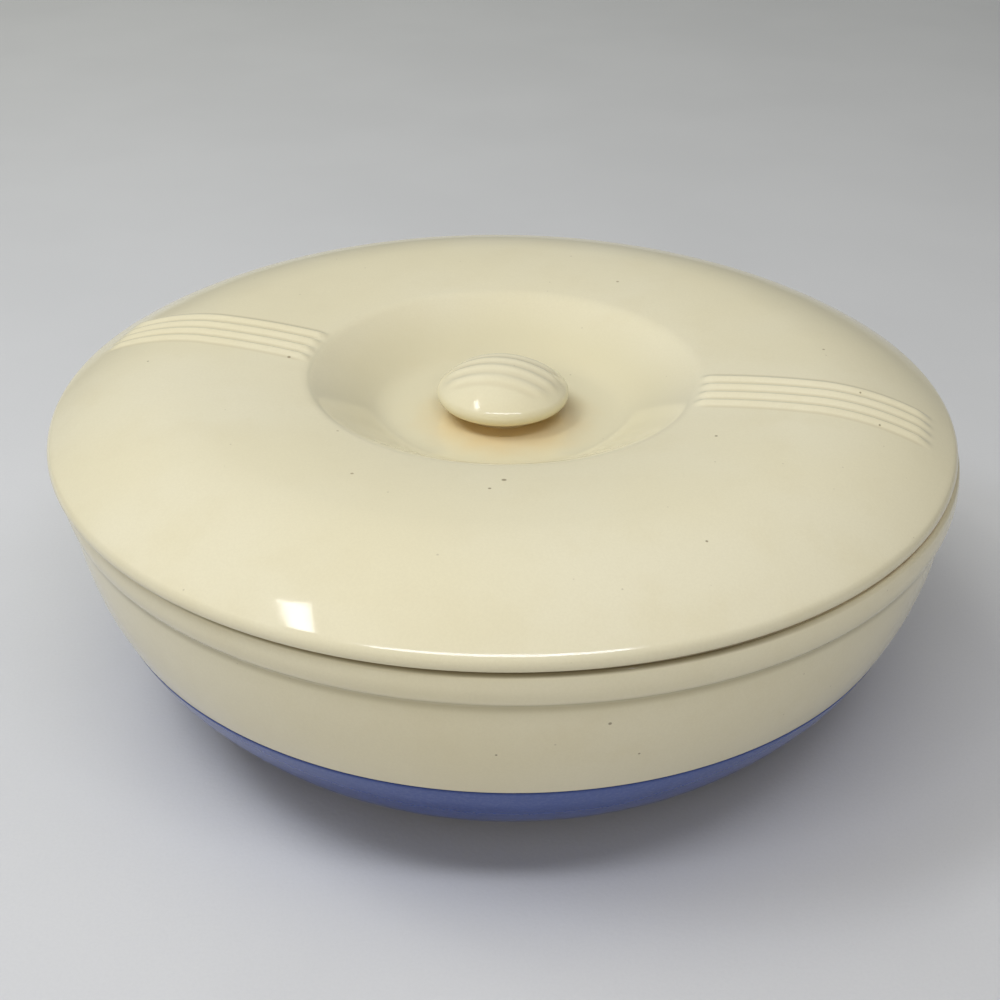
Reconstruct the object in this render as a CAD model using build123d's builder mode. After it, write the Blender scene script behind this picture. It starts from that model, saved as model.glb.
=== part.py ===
from build123d import *
import math
import os

os.makedirs("parts", exist_ok=True)

# A round ceramic keeper for warm tortillas: a bowl dipped in blue glaze and a low lid with a sunk knob.
# Millimetres, +Z up. The origin is in the middle of the foot, on the table.

# ---- bowl ----
rim_radius = 126.0  # outside of the bowl at its top
bowl_height = 77.3  # table to the face that the lid sits on
bowl_wall = 6.0
rim_face_width = 6.5  # flat ring that carries the lid
rim_edge_round = 1.0
band_height = 9.6  # rolled band, from the rim face to the groove under it
band_swell = 1.3  # how far the band stands out between its edges
groove_depth = 1.2  # the groove's corner, in from the rim's outside
groove_round = 2.5
belly_inset = 25.6  # from the rim's outside in to where the wall turns under
belly_height = 12.0
wall_bulge = 5.8  # how far the wall stands out from a straight line
foot_inset = 48.0  # from the rim's outside in to the outside of the foot ring
foot_height = 3.0
foot_width = 6.0
foot_edge_round = 1.2

# ---- blue glaze on the lower bowl ----
glaze_line_height = 35.8  # table to the crisp upper edge of the blue
glaze_thickness = 0.4

# ---- lid ----
lid_overhang = 1.0  # how far the lid reaches out past the bowl's rim
lid_wall = 5.0
lid_edge_height = 4.7  # rim face to the top of the lid's upright edge
lid_edge_round = 2.2
lid_edge_gap = 0.4  # between the rim face and the underside of the lid's edge
lid_seat_inset = 2.5  # from the lid's edge in to where it sits on the rim face
lid_seat_round = 1.5
crown_inset = 37.0  # from the lid's edge in to the circle where it is highest
crown_height = 15.5  # above the rim face
well_radius = 55.5  # lip of the sunk well
well_lip_drop = 2.4  # from the crown down to the lip
well_lip_round = 4.0
well_floor_radius = 34.5
well_floor_drop = 0.3  # below the rim face
well_floor_round = 14.0
locating_ring_depth = 4.5  # ring under the lid that keeps it on the bowl
locating_ring_width = 5.0
locating_ring_round = 1.2
lid_clearance = 2.4  # between the locating ring and the bowl, on the radius
lid_rest_left = 1.8  # how far the loose lid lies off the bowl's middle, along -X

# ---- ribs: one band of raised lines over the lid and the knob ----
rib_count = 4
rib_pitch = 5.1
rib_width = 5.6  # of one line by itself: neighbours run into each other
rib_height = 0.9
knob_rib_height = 0.5  # the lines are lower on the knob
rib_sink = 1.5  # how far the lines reach into the clay under them
band_angle = -13.5  # the band's direction, from +X
rib_well_gap = 2.5  # from the well's lip out to the ribs' inner ends
rib_edge_gap = 9.5  # from the lid's edge in to the ribs' outer ends

# ---- knob ----
knob_radius = 18.9
knob_height = 15.1  # above the well's floor
knob_clearance = 3.7  # finger room, floor to the underside
knob_edge_height = 4.1
knob_edge_round = 2.6
neck_radius = 9.0
neck_round = 1.8
knob_rib_margin = 3.4  # from the knob's edge in to the ends of its ribs

# ---- worked out from the sizes above ----
lid_radius = rim_radius + lid_overhang
rim_face_radius = rim_radius - rim_face_width
belly_radius = rim_radius - belly_inset
foot_radius = rim_radius - foot_inset
foot_inner_radius = foot_radius - foot_width
groove_radius = rim_radius - groove_depth
groove_height = bowl_height - band_height
floor_height = foot_height + bowl_wall
ring_outer_radius = rim_face_radius - lid_clearance
ring_inner_radius = ring_outer_radius - locating_ring_width
crown_radius = lid_radius - crown_inset
seat_radius = lid_radius - lid_seat_inset

# heights on the lid and the knob, from the rim face that the lid sits on
well_floor_z = -well_floor_drop
well_lip_z = crown_height - well_lip_drop
knob_underside_z = well_floor_z + knob_clearance
knob_shoulder_z = knob_underside_z + knob_edge_height
knob_top_z = well_floor_z + knob_height


def arc_radius(run, rise):
    """Radius of an arc that starts level and moves by run and rise."""
    return (run**2 + rise**2) / (2 * rise)


def inset(edge, t, distance):
    """Point beside an edge of a profile, to the right of the edge's direction."""
    along = edge % t
    return edge @ t + Vector(along.Y, -along.X) * distance


def beside(edge, distance):
    """Arc that runs beside another one at an even distance."""
    return ThreePointArc(inset(edge, 0, distance), inset(edge, 0.5, distance), inset(edge, 1, distance))


def round_corner(profile, point, radius):
    """Round the corner of a profile that lies nearest to a point."""
    fillet(profile.vertices().sort_by_distance(point)[0], radius)


def crest_radius(height):
    """Radius of a raised line's round crest."""
    return (rib_width**2 / 4 + height**2) / (2 * height)


def rib(frame, reach, top, path_radius, angle, crest, height):
    """One raised line: the crest of its section, turned from a dome's top along an arc, with a round end."""
    turn = math.radians(angle)
    across = crest[0]
    round_crest = crest_radius(height)
    depth = height + rib_sink
    centre = frame.from_local_coords((reach, 0, top - path_radius))
    outward = frame.x_dir * math.sin(turn) + frame.z_dir * math.cos(turn)
    along = frame.x_dir * math.cos(turn) - frame.z_dir * math.sin(turn)
    with BuildSketch(Plane(centre + frame.z_dir * path_radius, x_dir=frame.y_dir, z_dir=frame.x_dir)) as section:
        with Locations(crest):
            Circle(round_crest)
        with Locations((across, crest[1] + round_crest)):
            Rectangle(rib_pitch * 2, depth, align=(Align.CENTER, Align.MAX), mode=Mode.INTERSECT)
    turning = Axis(centre, frame.y_dir * math.copysign(1, angle))
    revolve(section.sketch, axis=turning, revolution_arc=abs(angle))
    far_end = Plane(centre + outward * path_radius, x_dir=frame.y_dir, z_dir=along)
    with BuildSketch(far_end) as half_section:
        with Locations(crest):
            Circle(round_crest)
        with Locations((across, crest[1] + round_crest)):
            Rectangle(rib_pitch, depth, align=(Align.MIN, Align.MAX), mode=Mode.INTERSECT)
    revolve(half_section.sketch, axis=Axis(far_end.from_local_coords((across, 0)), outward))


# ---- bowl ----
with BuildPart() as bowl:
    with BuildSketch(Plane.XZ) as bowl_profile:
        with BuildLine():
            band_middle = (rim_radius + groove_radius) / 2 + band_swell
            band = ThreePointArc(
                (rim_radius, bowl_height),
                (band_middle, bowl_height - band_height / 2),
                (groove_radius, groove_height),
            )
            wall = SagittaArc(band @ 1, (belly_radius, belly_height), wall_bulge)
            belly = TangentArc(wall @ 1, (foot_radius, foot_height), tangent=wall % 1)
            inner_belly = beside(belly, bowl_wall)
            inner_wall = beside(wall, bowl_wall)
            Polyline(
                belly @ 1,
                (foot_radius, 0),
                (foot_inner_radius, 0),
                (foot_inner_radius, foot_height),
                (0, foot_height),
                (0, floor_height),
                inner_belly @ 1,
            )
            Polyline(inner_wall @ 0, (rim_face_radius, bowl_height), band @ 0)
        make_face()
        round_corner(bowl_profile, (rim_radius, bowl_height), rim_edge_round)
        round_corner(bowl_profile, (rim_face_radius, bowl_height), rim_edge_round)
        round_corner(bowl_profile, (groove_radius, groove_height), groove_round)
        round_corner(bowl_profile, (foot_radius, 0), foot_edge_round)
        round_corner(bowl_profile, (foot_inner_radius, 0), foot_edge_round)
    revolve(axis=Axis.Z)
bowl.part.label = "bowl"


# ---- blue glaze: a thin skin on the lower wall, and one inside the foot ring ----
with BuildPart() as blue_glaze_coat:
    with BuildSketch(Plane.XZ):
        with BuildLine():
            glaze_wall = beside(wall, -glaze_thickness)
            glaze_belly = beside(belly, -glaze_thickness)
            add(wall)
            add(belly)
            Line(wall @ 0, glaze_wall @ 0)
            Line(belly @ 1, glaze_belly @ 1)
        make_face()
        with Locations((foot_radius, 0)):
            Rectangle(rim_radius, glaze_line_height, align=(Align.MIN, Align.MIN), mode=Mode.INTERSECT)
    revolve(axis=Axis.Z)
    with BuildSketch(Plane.XY.offset(foot_height)):
        Circle(foot_inner_radius)
    extrude(amount=-glaze_thickness)
blue_glaze_coat.part.label = "blue_glaze_coat"


# ---- lid ----
shoulder_radius = arc_radius(crown_inset, crown_height - lid_edge_height)
shoulder_drop = shoulder_radius - math.sqrt(shoulder_radius**2 - (ring_inner_radius - crown_radius) ** 2)
slope_radius = arc_radius(crown_radius - well_radius, well_lip_drop)

rib_offsets = [(place - (rib_count - 1) / 2) * rib_pitch for place in range(rib_count)]
band_frames = [Plane.XY.rotated((0, 0, band_angle)), Plane.XY.rotated((0, 0, band_angle + 180))]
outer_run = crown_inset - rib_edge_gap
inner_run = crown_radius - well_radius - rib_well_gap
outer_angle = math.degrees(math.asin(outer_run / shoulder_radius))
inner_angle = math.degrees(math.asin(inner_run / slope_radius))

with BuildPart() as lid:
    with BuildSketch(Plane.XZ) as lid_profile:
        with BuildLine():
            Polyline((0, well_floor_z), (well_floor_radius, well_floor_z), (well_radius, well_lip_z))
            TangentArc((crown_radius, crown_height), (well_radius, well_lip_z), tangent=(-1, 0))
            TangentArc((crown_radius, crown_height), (lid_radius, lid_edge_height), tangent=(1, 0))
            under_crown = (crown_radius, crown_height - lid_wall)
            under_ring = (ring_inner_radius, crown_height - lid_wall - shoulder_drop)
            under_lip = (well_radius, well_lip_z - lid_wall)
            Polyline(
                (lid_radius, lid_edge_height),
                (lid_radius, lid_edge_gap),
                (seat_radius, lid_edge_gap),
                (seat_radius, 0),
                (ring_outer_radius, 0),
                (ring_outer_radius, -locating_ring_depth),
                (ring_inner_radius, -locating_ring_depth),
                under_ring,
            )
            TangentArc(under_crown, under_ring, tangent=(1, 0))
            TangentArc(under_crown, under_lip, tangent=(-1, 0))
            Polyline(
                under_lip,
                (well_floor_radius, well_floor_z - lid_wall),
                (0, well_floor_z - lid_wall),
                (0, well_floor_z),
            )
        make_face()
        round_corner(lid_profile, (well_floor_radius, well_floor_z), well_floor_round)
        round_corner(lid_profile, (well_floor_radius, well_floor_z - lid_wall), well_floor_round)
        round_corner(lid_profile, (well_radius, well_lip_z), well_lip_round)
        round_corner(lid_profile, under_lip, well_lip_round)
        round_corner(lid_profile, (lid_radius, lid_edge_height), lid_edge_round)
        round_corner(lid_profile, (lid_radius, lid_edge_gap), lid_seat_round)
        round_corner(lid_profile, (ring_outer_radius, -locating_ring_depth), locating_ring_round)
        round_corner(lid_profile, (ring_inner_radius, -locating_ring_depth), locating_ring_round)
    revolve(axis=Axis.Z)
    for frame in band_frames:
        for offset in rib_offsets:
            crest = (offset, rib_height - crest_radius(rib_height))
            rib(frame, crown_radius, crown_height, shoulder_radius, outer_angle, crest, rib_height)
            rib(frame, crown_radius, crown_height, slope_radius, -inner_angle, crest, rib_height)
lid.part.label = "lid"


# ---- knob ----
dome_radius = arc_radius(knob_radius, knob_top_z - knob_shoulder_z)
crest_circle = dome_radius + knob_rib_height - crest_radius(knob_rib_height)
rib_end_radius = knob_radius - knob_rib_margin

with BuildPart() as knob:
    with BuildSketch(Plane.XZ) as knob_profile:
        with BuildLine():
            TangentArc((0, knob_top_z), (knob_radius, knob_shoulder_z), tangent=(1, 0))
            Polyline(
                (knob_radius, knob_shoulder_z),
                (knob_radius, knob_underside_z),
                (neck_radius, knob_underside_z),
                (neck_radius, well_floor_z),
                (0, well_floor_z),
                (0, knob_top_z),
            )
        make_face()
        round_corner(knob_profile, (knob_radius, knob_shoulder_z), knob_edge_round)
        round_corner(knob_profile, (knob_radius, knob_underside_z), knob_edge_round)
        round_corner(knob_profile, (neck_radius, knob_underside_z), neck_round)
    revolve(axis=Axis.Z)
    for frame in band_frames:
        for offset in rib_offsets:
            lean = math.asin(offset / dome_radius)
            crest = (crest_circle * math.sin(lean), crest_circle * math.cos(lean) - dome_radius)
            rib_run = math.sqrt(rib_end_radius**2 - offset**2)
            knob_rib_angle = math.degrees(math.asin(rib_run / (dome_radius * math.cos(lean))))
            rib(frame, 0, knob_top_z, dome_radius, knob_rib_angle, crest, knob_rib_height)
knob.part.label = "knob"

# ---- the lid and the knob are drawn about the rim face, and go up on to the bowl ----
for piece in (lid, knob):
    piece.part.move(Location((-lid_rest_left, 0, bowl_height)))

for piece in (bowl, blue_glaze_coat, lid, knob):
    export_step(piece.part, f"parts/{piece.part.label}.step")
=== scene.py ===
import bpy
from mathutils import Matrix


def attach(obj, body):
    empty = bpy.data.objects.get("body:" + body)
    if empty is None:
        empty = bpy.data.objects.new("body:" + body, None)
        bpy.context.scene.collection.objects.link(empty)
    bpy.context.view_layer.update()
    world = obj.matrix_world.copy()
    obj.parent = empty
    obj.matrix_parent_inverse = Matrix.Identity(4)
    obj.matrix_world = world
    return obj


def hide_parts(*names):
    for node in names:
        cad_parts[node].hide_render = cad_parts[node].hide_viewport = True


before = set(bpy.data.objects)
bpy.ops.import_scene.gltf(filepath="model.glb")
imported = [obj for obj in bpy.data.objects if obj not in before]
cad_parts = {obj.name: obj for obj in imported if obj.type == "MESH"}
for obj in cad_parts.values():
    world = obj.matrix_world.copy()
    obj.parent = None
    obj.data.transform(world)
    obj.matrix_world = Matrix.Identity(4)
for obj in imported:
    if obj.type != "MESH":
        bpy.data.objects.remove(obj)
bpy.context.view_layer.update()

import math

import bpy
from mathutils import Vector

# A round ceramic keeper for warm tortillas: a cream bowl dipped in blue glaze, and a cream lid with a
# sunk well, a knob on a short neck and one band of raised lines. Lengths are in millimetres until a
# form is made, and +Z is up from the table.

MM = 0.001
RIM_FACE = 77.3  # height of the bowl's rim face, which the lid rests on
LID_PLACE = (-1.8, 0, 0)  # the loose lid lies a little off the bowl's middle
SPOKES = 320  # points round the lid and the bowl
KNOB_SPOKES = 400

# the raised lines, in one band that runs straight across the lid and the knob
BAND_ANGLE = -13.5  # degrees about +Z
RIB_PITCH = 5.1
RIB_CENTRES = [-1.5 * RIB_PITCH, -0.5 * RIB_PITCH, 0.5 * RIB_PITCH, 1.5 * RIB_PITCH]
RIB_HEIGHT = 0.9
KNOB_RIB_HEIGHT = 0.5
BAND_SPOKES = 20  # spokes on each side of the band's middle line that run straight beside it
BAND_SPOKE_PITCH = RIB_PITCH / 8

# spacing of the points of a profile: as it is drawn, and as it is kept
DRAWN = 0.1
KEPT = 2.6
KEPT_FINE = 0.55
KEPT_LEAST = 0.2
KEPT_TURN = math.radians(6)  # a corner keeps a point each time the line has turned this far

IRON = (0.22, 0.17, 0.09, 1)
LID_SPECKS = [  # x and y from the lid's middle, and radius
    (0.5, -66, 0.75),
    (-3, -71, 0.5),
    (55.5, -42.5, 0.5),
    (47.5, -92.5, 0.4),
    (-61.5, 4.5, 0.6),
    (-101, 0, 0.35),
    (98, -17, 0.35),
    (100, -33.5, 0.35),
]
WALL_SPECKS = [  # x and z on the front of the bowl, and radius
    (23, 61, 0.5),
    (30.5, 49, 0.35),
    (-2.5, 52, 0.35),
]

# how far a lamp stands off and how large it is, in metres
FAR = 2.2
BROAD = (1.3, 1.3)
NEAR = 0.8
SMALL = (0.15, 0.15)


# ---- the camera ----
bpy.ops.object.camera_add(
    location=(-0.0018, -0.38681, 0.275),
    rotation=(math.radians(59.479), math.radians(-0.459), math.radians(0.352)),
)
camera = bpy.context.object
camera.name = "camera"
camera.data.lens = 54
camera.data.sensor_width = 36
camera.data.clip_start = 0.01
bpy.context.scene.camera = camera


# ---- profiles: close points along a turned form, from the axis out and back ----
def stroke(start, end, bulge):
    """Close points from start towards end, on an arc that stands out to the left by the bulge."""
    run = Vector(end) - Vector(start)
    ahead = run.normalized()
    left = Vector((-ahead.y, ahead.x))
    half = 2 * math.atan(2 * bulge / run.length)
    points = []
    count = max(1, round(run.length / DRAWN))
    for place in range(count):
        t = place / count
        if bulge == 0:
            points.append(Vector(start) + run * t)
            continue
        radius = run.length / (2 * math.sin(half))
        turn = half * (2 * t - 1)
        along = ahead * radius * math.sin(turn)
        out = left * radius * (math.cos(turn) - math.cos(half))
        points.append(Vector(start) + run / 2 + along + out)
    return points


def softened(line, corner, reach):
    """The same line with one corner rounded, from the reach before it to the reach after it."""
    steps = round(reach / DRAWN)
    before, after = line[corner - steps], line[corner + steps]
    weight = math.cos((line[corner] - before).angle(after - line[corner]) / 2)
    rounded = []
    for place in range(1, 2 * steps):
        t = place / (2 * steps)
        a, b, c = (1 - t) ** 2, 2 * weight * t * (1 - t), t**2
        rounded.append((before * a + line[corner] * b + after * c) / (a + b + c))
    return line[: corner - steps + 1] + rounded + line[corner + steps :]


def profile(corners, fine=()):
    """A profile from corners of (radius, height, softness, bulge of the line to the next corner).
    Points stay closer together in the fine spans of (lowest radius, highest radius, lowest height)."""
    line, soft = [], []
    for here, there in zip(corners, corners[1:]):
        if here[2]:
            soft.append((len(line), here[2]))
        line += stroke(here[:2], there[:2], here[3])
    line.append(Vector(corners[-1][:2]))
    for corner, reach in reversed(soft):
        line = softened(line, corner, reach)
    kept = [line[0]]
    since = 0.0
    turned = 0.0
    for before, here, after in zip(line, line[1:], line[2:]):
        since += (here - before).length
        turned += (here - before).angle(after - here, 0)
        in_fine = any(low < here.x < high and here.y > floor for low, high, floor in fine)
        if since >= (KEPT_FINE if in_fine else KEPT) or (turned > KEPT_TURN and since > KEPT_LEAST):
            kept.append(here)
            since = 0.0
            turned = 0.0
    kept.append(line[-1])
    return kept


def thrown(name, line, spokes):
    """A form thrown on the wheel: its profile is drawn point by point and spun about the axis."""
    bpy.ops.object.select_all(action="DESELECT")
    bpy.ops.mesh.primitive_plane_add(size=MM)
    form = bpy.context.object
    form.name = name
    form.data.name = name
    bpy.ops.object.mode_set(mode="EDIT")
    bpy.ops.mesh.merge(type="CENTER")
    bpy.ops.transform.translate(value=(line[0].x / 1000, 0, line[0].y / 1000))
    for before, here in zip(line, line[1:]):
        step = (here - before) / 1000
        bpy.ops.mesh.extrude_region_move(TRANSFORM_OT_translate={"value": (step.x, 0, step.y)})
    bpy.ops.mesh.select_all(action="SELECT")
    bpy.ops.mesh.spin(steps=spokes, angle=math.tau, center=(0, 0, 0), axis=(0, 0, 1))
    bpy.ops.mesh.select_all(action="SELECT")
    bpy.ops.mesh.remove_doubles(threshold=0.000002)
    bpy.ops.mesh.normals_make_consistent(inside=False)
    bpy.ops.object.mode_set(mode="OBJECT")
    bpy.ops.object.shade_smooth()
    return form


def only(form):
    bpy.ops.object.select_all(action="DESELECT")
    form.select_set(True)
    bpy.context.view_layer.objects.active = form


def raised(form, name, height, share):
    """Lifts the surface along its normals by a share, from 0 to 1, of a height in millimetres."""
    group = form.vertex_groups.new(name=name)
    for point in form.data.vertices:
        lift = share(point.co * 1000)
        if lift:
            group.add([point.index], lift, "REPLACE")
    only(form)
    lifting = form.modifiers.new(name, "DISPLACE")
    lifting.vertex_group = name
    lifting.mid_level = 0
    lifting.strength = height / 1000
    bpy.ops.object.modifier_apply(modifier=name)
    form.vertex_groups.remove(form.vertex_groups[name])


def fade(value, low, high):
    """Goes smoothly from 0 to 1 while the value goes from low to high."""
    t = min(1.0, max(0.0, (value - low) / (high - low)))
    return t * t * (3 - 2 * t)


def raised_lines(across):
    """Height of the four lines, as a share of their full height, at a distance across the band."""
    nearest = min(abs(across - centre) for centre in RIB_CENTRES)
    return math.cos(math.pi * nearest / RIB_PITCH) ** 2 if nearest < RIB_PITCH / 2 else 0.0


def laid_on_bowl(form):
    """Turns a form to the band's direction and lays it where the lid lies."""
    only(form)
    form.rotation_euler.z = math.radians(BAND_ANGLE)
    form.location = Vector(LID_PLACE) / 1000
    bpy.ops.object.transform_apply(location=True, rotation=True, scale=True)


# ---- the lid ----
lid = thrown(
    "lid_form",
    profile(
        [
            (0, 77, 0, 0),
            (34.5, 77, 4.2, 0),
            (55.5, 90.4, 2.0, 0.6),
            (90, 92.8, 0, 2.6),
            (127, 81.4, 1.5, 0.1),
            (127, 77.7, 1.8, 0),
            (124.5, 77.7, 0.2, 0),
            (124.5, RIM_FACE, 0.1, 0),
            (117.1, RIM_FACE, 0.3, 0),
            (117.1, 72.8, 1.2, 0),
            (112.1, 72.8, 1.2, 0),
            (112.1, 84.15, 2.0, -0.92),
            (90, 87.8, 0, -0.6),
            (55.5, 85.4, 1.6, 0),
            (34.5, 72, 4.2, 0),
            (0, 72, 0, 0),
        ],
        fine=[(54, 62, 85), (113.5, 121.5, 85)],
    ),
    SPOKES,
)

# Outside the floor of the well, the spokes near the band are moved to run straight beside it.
for point in lid.data.vertices:
    x, y = point.co.x * 1000, point.co.y * 1000
    reach = math.hypot(x, y)
    if reach < 32.5:
        continue
    spoke = round(math.atan2(y, x) / math.tau * SPOKES) % SPOKES
    from_band = min(spoke, SPOKES - spoke, abs(spoke - SPOKES // 2))
    edge = math.asin(BAND_SPOKES * BAND_SPOKE_PITCH / reach)
    if from_band <= BAND_SPOKES:
        angle = math.asin(from_band * BAND_SPOKE_PITCH / reach)
    else:
        share = (from_band - BAND_SPOKES) / (SPOKES / 4 - BAND_SPOKES)
        angle = edge + (math.pi / 2 - edge) * share
    point.co.x = math.copysign(reach * math.cos(angle), x) / 1000 if abs(x) > 1e-4 else 0
    point.co.y = math.copysign(reach * math.sin(angle), y) / 1000 if abs(y) > 1e-4 else 0


def lid_ribs(point):
    """Share of the lines' height on the lid: they fade out near the well's lip and near the edge."""
    reach = math.hypot(point.x, point.y)
    if point.z < 80 or not 55 < reach < 121:
        return 0.0
    return raised_lines(point.y) * fade(reach, 55.3, 59) * (1 - fade(reach, 114.5, 120.5))


raised(lid, "raised_lines", RIB_HEIGHT, lid_ribs)
laid_on_bowl(lid)
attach(lid, "lid_body")
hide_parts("lid")


# ---- the knob ----
knob = thrown(
    "knob_form",
    profile(
        [
            (0, 92.1, 0, 1.786),
            (18.1, 85.2, 0, 1.66),
            (16.25, 80.7, 0, 0),
            (9, 80.9, 1.6, 0),
            (9.2, 78.4, 1.0, 0),
            (11.2, 77, 0, 0),
            (0, 77, 0, 0),
        ],
        fine=[(0, 19, 84)],
    ),
    KNOB_SPOKES,
)


def knob_ribs(point):
    """Share of the lines' height on the knob: they fade out towards its edge."""
    if point.z < 85:
        return 0.0
    return raised_lines(point.y) * (1 - fade(math.hypot(point.x, point.y), 13.5, 17.4))


raised(knob, "raised_lines", KNOB_RIB_HEIGHT, knob_ribs)
laid_on_bowl(knob)
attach(knob, "lid_body")
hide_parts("knob")


# ---- the bowl ----
bowl = thrown(
    "bowl_form",
    profile(
        [
            (0, 3, 0, 0),
            (72, 3, 1.0, 0),
            (72, 0, 1.2, 0),
            (78, 0, 1.2, 0),
            (78, 3, 0.8, -2.44),
            (100.4, 12, 0, -5.8),
            (124.8, 67.7, 1.0, -0.3),
            (126.4, 70.3, 0.6, -0.25),
            (126.5, 75, 0.5, -0.1),
            (126, RIM_FACE, 0.9, 0),
            (119.5, RIM_FACE, 1.0, 0),
            (118.8, 67.9, 2.0, 5.38),
            (96.2, 16.26, 0, 1.97),
            (78.1, 9, 1.0, 0),
            (0, 9, 0, 0),
        ]
    ),
    SPOKES,
)
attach(bowl, "bowl_body")
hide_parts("bowl")


# ---- blue glaze on the lower bowl, and inside the foot ring ----
coat = thrown(
    "blue_glaze_coat_form",
    profile(
        [
            (116.86, 35.8, 0, 1.28),
            (100.22, 12.18, 0, 2.42),
            (78, 3.25, 0, 0),
            (78, 2.65, 0, -2.47),
            (100.65, 11.75, 0, -0.55),
            (112.95, 27.4, 0.4, -0.2),
            (117.19, 35.8, 0, 0),
            (116.86, 35.8, 0, 0),
        ]
    ),
    SPOKES,
)
inside_foot = thrown(
    "inside_foot_glaze",
    profile(
        [
            (0, 3.1, 0, 0),
            (72.1, 3.1, 0, 0),
            (72.1, 2.2, 0, 0),
            (71.2, 2.6, 0.4, 0),
            (0, 2.6, 0, 0),
        ]
    ),
    SPOKES,
)
only(coat)
inside_foot.select_set(True)
bpy.ops.object.join()
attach(coat, "bowl_body")
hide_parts("blue_glaze_coat")


# ---- finishes ----
def node(tree, kind, settings=None, **feeds):
    """Adds a node. A feed is a value or another node's output. Its name is the name of the input,
    or the letter i and the input's number."""
    made = tree.nodes.new(kind)
    for key, value in (settings or {}).items():
        setattr(made, key, value)
    for key, value in feeds.items():
        socket = made.inputs[int(key[1:])] if key[1:].isdigit() else made.inputs[key]
        if isinstance(value, bpy.types.NodeSocket):
            tree.links.new(value, socket)
        else:
            socket.default_value = value
    return made


def vector_of(tree, operation, *values):
    """A vector worked out from vectors, or the number that the operation gives."""
    feeds = {f"i{place}": value for place, value in enumerate(values)}
    made = node(tree, "ShaderNodeVectorMath", {"operation": operation}, **feeds)
    return made.outputs["Value" if operation in ("LENGTH", "DISTANCE", "DOT_PRODUCT") else "Vector"]


def math_of(tree, operation, *values):
    feeds = {f"i{place}": value for place, value in enumerate(values)}
    return node(tree, "ShaderNodeMath", {"operation": operation}, **feeds).outputs[0]


def product(tree, *values):
    total = values[0]
    for value in values[1:]:
        total = math_of(tree, "MULTIPLY", total, value)
    return total


def part_of(tree, vector, axis):
    return node(tree, "ShaderNodeSeparateXYZ", None, Vector=vector).outputs[axis]


def ramp(tree, value, start, end, low=0.0, high=1.0):
    """Goes smoothly from low to high while the value goes from start to end."""
    made = node(tree, "ShaderNodeMapRange", {"interpolation_type": "SMOOTHSTEP"}, Value=value)
    for key, number in zip(("From Min", "From Max", "To Min", "To Max"), (start, end, low, high)):
        made.inputs[key].default_value = number
    return made.outputs[0]


def rise(tree, value, start, end):
    """0 below start and 1 above end, which are in millimetres."""
    return ramp(tree, value, start * MM, end * MM)


def fall(tree, value, start, end):
    """1 below start and 0 above end, which are in millimetres."""
    return ramp(tree, value, start * MM, end * MM, 1.0, 0.0)


def hill(tree, value, start, full, leave, end):
    """Rises from start to full and falls from leave to end, all in millimetres."""
    return product(tree, rise(tree, value, start, full), fall(tree, value, leave, end))


def tinted(tree, share, base, tone):
    """The base colour, with a share of another tone."""
    return node(tree, "ShaderNodeMix", {"data_type": "RGBA"}, i0=share, i6=base, i7=tone).outputs[2]


def cloud(tree, place, scale, detail=2.0, roughness=0.5):
    feeds = {"Vector": place, "Scale": scale, "Detail": detail, "Roughness": roughness}
    return node(tree, "ShaderNodeTexNoise", None, **feeds).outputs[0]


def specks(tree, place, scale, radius, soft):
    """Small round spots of a radius in metres, in cells of a size of one over the scale."""
    cells = node(tree, "ShaderNodeTexVoronoi", None, Vector=place, Scale=scale)
    size = ramp(tree, cells.outputs["Color"], 0.0, 1.0, 0.35, 1.0)
    past = math_of(tree, "SUBTRACT", cells.outputs["Distance"], product(tree, size, radius * scale))
    return ramp(tree, past, -soft * scale, soft * scale, 1.0, 0.0)


def started(name):
    """A new material, with its tree, its shader and the place on the set."""
    material = bpy.data.materials.new(name)
    material.use_nodes = True
    tree = material.node_tree
    place = node(tree, "ShaderNodeTexCoord").outputs["Object"]
    return material, tree, tree.nodes["Principled BSDF"], place


def bumped(tree, shader, *layers):
    """Lays bumps over one another, each a height from 0 to 1 and its depth in metres."""
    before = None
    for height, depth in layers:
        bump = node(tree, "ShaderNodeBump", None, Height=height, Distance=depth, Strength=1.0)
        if before:
            tree.links.new(before, bump.inputs["Normal"])
        before = bump.outputs[0]
    tree.links.new(before, shader.inputs["Normal"])


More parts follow.
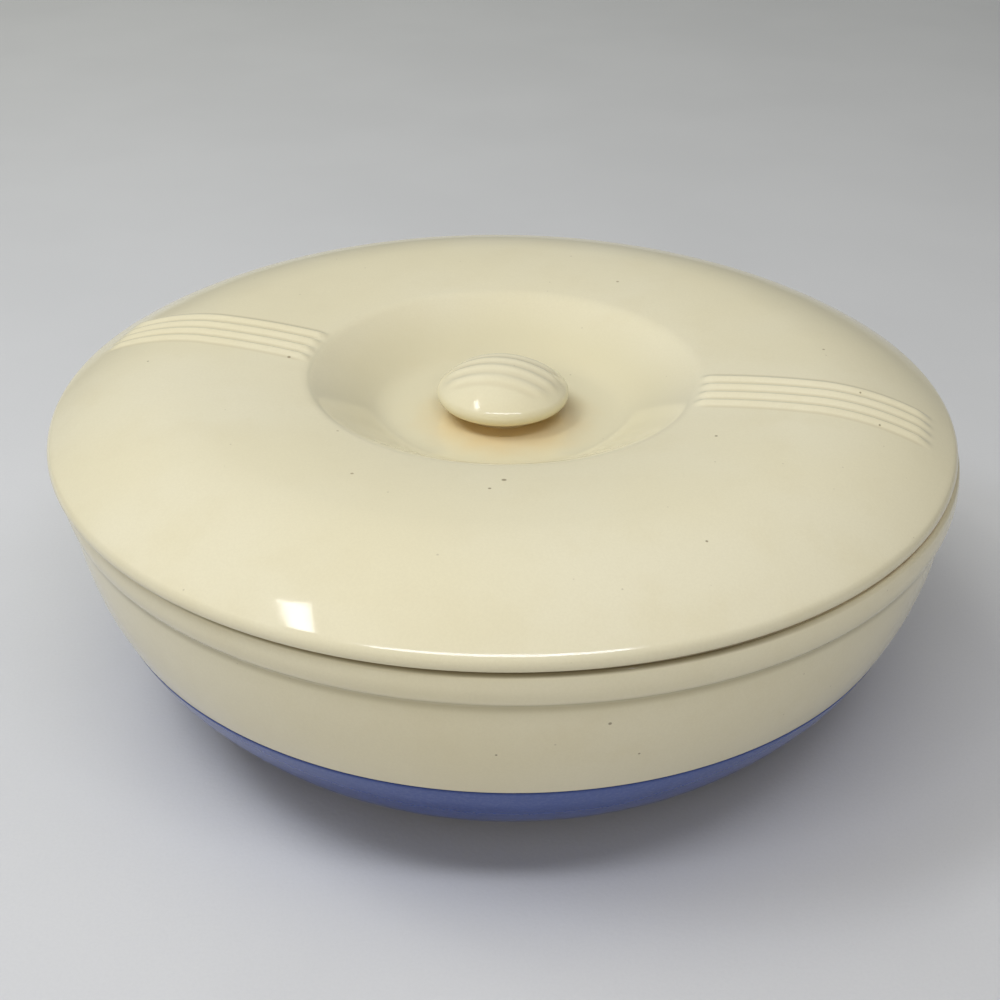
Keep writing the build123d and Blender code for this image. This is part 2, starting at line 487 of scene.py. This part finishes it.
def cream_glaze():
    material, tree, shader, place = started("cream_glaze")
    about_lid = vector_of(tree, "SUBTRACT", place, tuple(Vector(LID_PLACE) * MM))
    plan = vector_of(tree, "MULTIPLY", about_lid, (1, 1, 0))
    radius = vector_of(tree, "LENGTH", plan)
    height = part_of(tree, place, "Z")

    # cream in soft blotches, with a fine grain
    blotches = ramp(tree, cloud(tree, place, 11, 3), 0.35, 0.65)
    color = tinted(tree, blotches, (0.80, 0.728, 0.50, 1), (0.815, 0.752, 0.545, 1))
    patches = ramp(tree, cloud(tree, place, 55, 4, 0.6), 0.45, 0.75, 0.0, 0.5)
    color = tinted(tree, patches, color, (0.775, 0.70, 0.475, 1))
    grain = ramp(tree, cloud(tree, place, 1500, 3, 0.7), 0.35, 0.65, 0.0, 0.12)
    color = tinted(tree, grain, color, (0.66, 0.59, 0.40, 1))

    # painted shade: the whole well is given a darker tone
    in_well = product(tree, hill(tree, height, 75, 76, 81, 90), fall(tree, radius, 50, 56))
    color = tinted(tree, product(tree, in_well, 0.6), color, (0.72, 0.655, 0.43, 1))
    # a warm brown stain round the neck, where the knob was luted on, set a little to the front and
    # deepened there as painted shade under the knob
    ragged = product(tree, cloud(tree, place, 130, 3), 9 * MM)
    from_neck_front = vector_of(tree, "DISTANCE", plan, (1 * MM, -5 * MM, 0))
    neck_stain_and_shade = fall(tree, math_of(tree, "ADD", from_neck_front, ragged), 12, 34)
    neck_stain_and_shade = product(tree, neck_stain_and_shade, in_well, fall(tree, height, 80, 82))
    color = tinted(tree, product(tree, neck_stain_and_shade, 0.62), color, (0.78, 0.55, 0.235, 1))

    # painted shade in the valleys between the raised lines
    turn = {"Vector": about_lid, "Rotation": (0, 0, math.radians(-BAND_ANGLE))}
    turned = node(tree, "ShaderNodeMapping", {"vector_type": "POINT"}, **turn).outputs[0]
    across = part_of(tree, turned, "Y")
    wave = math_of(tree, "COSINE", product(tree, across, math.tau / (RIB_PITCH * MM)))
    in_band = hill(tree, across, -11.4, -10.2, 10.2, 11.4)
    on_top = rise(tree, height, 84, 86)
    on_lid = product(tree, hill(tree, radius, 57, 61, 115, 119), ramp(tree, wave, 0.35, 1.0, 0.0, 0.45))
    on_knob = product(tree, fall(tree, radius, 14, 17), ramp(tree, wave, -0.3, 1.0, 0.0, 0.3))
    valley_shade = product(tree, math_of(tree, "MAXIMUM", on_lid, on_knob), in_band, on_top)
    color = tinted(tree, valley_shade, color, (0.62, 0.54, 0.35, 1))

    # painted shade in the groove under the bowl's band
    groove_shade = product(tree, hill(tree, height, 64.9, 67.5, 67.9, 69.5), rise(tree, radius, 121, 122))
    color = tinted(tree, product(tree, groove_shade, 0.62), color, (0.42, 0.365, 0.20, 1))

    # painted shade: a dark brown line in the seam where the lid meets the bowl, fainter on the right
    to_right = vector_of(tree, "DOT_PRODUCT", plan, (1, 0, 0))
    seam_shade = product(
        tree,
        hill(tree, height, 76.2, 77.1, 77.5, 78.2),
        rise(tree, radius, 122.4, 123.6),
        ramp(tree, to_right, 45 * MM, 95 * MM, 1.0, 0.2),
    )
    color = tinted(tree, product(tree, seam_shade, 0.8), color, (0.20, 0.155, 0.075, 1))

    # painted shade: a thin greenish dark line on the front left of the well's lip
    to_front_left = vector_of(tree, "DOT_PRODUCT", plan, (-0.6, -0.8, 0))
    lip_shade_line = product(
        tree,
        hill(tree, radius, 54.1, 55.1, 55.1, 56.1),
        rise(tree, height, 86, 88),
        rise(tree, to_front_left, 5, 35),
    )
    color = tinted(tree, product(tree, lip_shade_line, 0.3), color, (0.60, 0.56, 0.38, 1))

    # the larger iron specks, each at its own place
    front = vector_of(tree, "MULTIPLY", place, (1, 0, 1))
    in_front = fall(tree, part_of(tree, place, "Y"), -60, -50)
    marks = [(plan, (x, y, 0), size, on_top) for x, y, size in LID_SPECKS]
    marks += [(front, (x, 0, z), size, in_front) for x, z, size in WALL_SPECKS]
    for seen, middle, size, limit in marks:
        away = vector_of(tree, "DISTANCE", seen, tuple(Vector(middle) * MM))
        mark = ramp(tree, away, 0.5 * size * MM, 1.1 * size * MM, 0.75, 0.0)
        color = tinted(tree, product(tree, mark, limit), color, IRON)

    # small iron specks and pinholes
    spots = specks(tree, place, 62, 0.55 * MM, 0.12 * MM)
    color = tinted(tree, product(tree, spots, 0.6), color, (0.30, 0.22, 0.12, 1))
    fine_spots = specks(tree, place, 140, 0.3 * MM, 0.08 * MM)
    color = tinted(tree, product(tree, fine_spots, 0.4), color, (0.42, 0.35, 0.22, 1))

    tree.links.new(color, shader.inputs["Base Color"])
    gloss = ramp(tree, cloud(tree, place, 90, 3), 0.3, 0.7, 0.07, 0.13)
    tree.links.new(gloss, shader.inputs["Roughness"])
    bumped(
        tree,
        shader,
        (cloud(tree, place, 28, 2), 0.25 * MM),
        (cloud(tree, place, 420, 2), 0.012 * MM),
        (math_of(tree, "SUBTRACT", 1.0, spots), 0.06 * MM),
    )
    return material


def blue_glaze():
    material, tree, shader, place = started("blue_glaze")
    blotches = ramp(tree, cloud(tree, place, 14, 3), 0.35, 0.65)
    color = tinted(tree, blotches, (0.043, 0.079, 0.292, 1), (0.057, 0.099, 0.332, 1))
    grain = ramp(tree, cloud(tree, place, 900, 3, 0.65), 0.4, 0.7, 0.0, 0.3)
    color = tinted(tree, grain, color, (0.11, 0.16, 0.41, 1))
    edge = rise(tree, part_of(tree, place, "Z"), 34.2, 35.6)
    color = tinted(tree, product(tree, edge, 0.45), color, (0.035, 0.055, 0.2, 1))
    spots = specks(tree, place, 160, 0.35 * MM, 0.1 * MM)
    color = tinted(tree, product(tree, spots, 0.5), color, (0.05, 0.07, 0.2, 1))
    tree.links.new(color, shader.inputs["Base Color"])
    gloss = ramp(tree, cloud(tree, place, 80, 3), 0.3, 0.7, 0.12, 0.2)
    tree.links.new(gloss, shader.inputs["Roughness"])
    bumped(tree, shader, (cloud(tree, place, 30, 2), 0.25 * MM), (cloud(tree, place, 380, 2), 0.02 * MM))
    return material


def bare_clay():
    material, tree, shader, place = started("bare_clay")
    grain = ramp(tree, cloud(tree, place, 260, 4, 0.7), 0.35, 0.65)
    color = tinted(tree, grain, (0.66, 0.55, 0.40, 1), (0.74, 0.64, 0.49, 1))
    spots = specks(tree, place, 300, 0.3 * MM, 0.1 * MM)
    color = tinted(tree, spots, color, (0.42, 0.31, 0.2, 1))
    tree.links.new(color, shader.inputs["Base Color"])
    shader.inputs["Roughness"].default_value = 0.82
    bumped(tree, shader, (cloud(tree, place, 1400, 3), 0.05 * MM))
    return material


def floor_paper():
    material, tree, shader, place = started("floor_paper")
    blotches = ramp(tree, cloud(tree, place, 8, 3), 0.35, 0.65)
    color = tinted(tree, blotches, (0.66, 0.66, 0.665, 1), (0.68, 0.68, 0.685, 1))
    grain = ramp(tree, cloud(tree, place, 1100, 3, 0.7), 0.35, 0.7, 0.0, 0.25)
    color = tinted(tree, grain, color, (0.61, 0.61, 0.62, 1))
    tree.links.new(color, shader.inputs["Base Color"])
    shader.inputs["Roughness"].default_value = 0.9
    bumped(tree, shader, (cloud(tree, place, 700, 3), 0.05 * MM))
    return material


def wiped(form, axis, touches):
    """Gives bare clay to the faces, by radius from an axis and height, that are wiped free of glaze."""
    for face in form.data.polygons:
        middle = face.center * 1000 - Vector(axis)
        if touches(math.hypot(middle.x, middle.y), middle.z):
            face.material_index = 1


def on_rim_face(height):
    return abs(height - RIM_FACE) < 0.2


def foot_or_rim(reach, height):
    return height < 0.5 or (on_rim_face(height) and 120.3 < reach < 124)


def lid_seat(reach, height):
    return on_rim_face(height) and 117.4 < reach < 124.6


cream, blue, clay = cream_glaze(), blue_glaze(), bare_clay()
for form in (lid, knob, bowl):
    form.data.materials.append(cream)
for form in (lid, bowl):
    form.data.materials.append(clay)
coat.data.materials.append(blue)
wiped(bowl, (0, 0, 0), foot_or_rim)
wiped(lid, LID_PLACE, lid_seat)


# ---- the table, the light and the view ----
bpy.ops.object.select_all(action="DESELECT")
bpy.ops.mesh.primitive_plane_add(size=8)
floor = bpy.context.object
floor.name = "floor"
floor.data.materials.append(floor_paper())

world = bpy.data.worlds.new("room")
bpy.context.scene.world = world
world.use_nodes = True
world.node_tree.nodes["Background"].inputs["Color"].default_value = (0.80, 0.87, 1.0, 1)
world.node_tree.nodes["Background"].inputs["Strength"].default_value = 0.14


def lamp(name, elevation, azimuth, distance, size, power, color, shine=False, middle=(0, 0, 0.06)):
    """A soft lamp that looks at a middle, which is in metres, from an elevation and an azimuth in
    degrees. Azimuth 270 is in front. Only a lamp with shine shows in the gloss."""
    lift, around = math.radians(elevation), math.radians(azimuth)
    level = math.cos(lift)
    towards = Vector((level * math.cos(around), level * math.sin(around), math.sin(lift)))
    bpy.ops.object.light_add(type="AREA", location=Vector(middle) + towards * distance)
    made = bpy.context.object
    made.name = name
    made.rotation_euler = (-towards).to_track_quat("-Z", "Y").to_euler()
    made.data.shape = "RECTANGLE"
    made.data.size, made.data.size_y = size
    made.data.energy = power
    made.data.color = color
    made.visible_glossy = shine


lamp("front_overhead", 65, 270, NEAR, (0.6, 0.09), 1.95, (0.86, 0.89, 1.0), shine=True)
lamp(
    "window", 64.4, 174, 0.9, (0.2, 0.07), 0.53, (1.0, 0.98, 0.95),
    shine=True, middle=(-0.047, -0.113, 0.084),
)
lamp("left_ceiling", 60, 180, FAR, BROAD, 12.9, (0.985, 0.985, 0.885))
lamp("right_ceiling", 60, 0, FAR, BROAD, 4.0, (1.0, 0.93, 0.89))
lamp("left_front", 54, 202, NEAR, SMALL, 0.7, (0.74, 0.81, 1.0))
lamp("left", 40, 165, NEAR, SMALL, 0.5, (0.9, 0.93, 1.0))
lamp("left_low", 25, 247, NEAR, SMALL, 0.25, (0.9, 0.87, 1.0))
lamp("front", 42, 270, FAR, BROAD, 4.4, (1.0, 0.95, 0.78))
lamp("front_low", 25, 270, FAR, BROAD, 5.7, (1.0, 0.89, 0.6))
lamp("back_low", 25, 90, FAR, BROAD, 3.2, (0.96, 1.0, 0.83))
lamp("back_floor", 73, 169, 0.84, (0.4, 0.4), 1.0, (1.0, 1.0, 0.91), middle=(-0.25, 0.7, 0))

bpy.context.scene.view_settings.view_transform = "Standard"
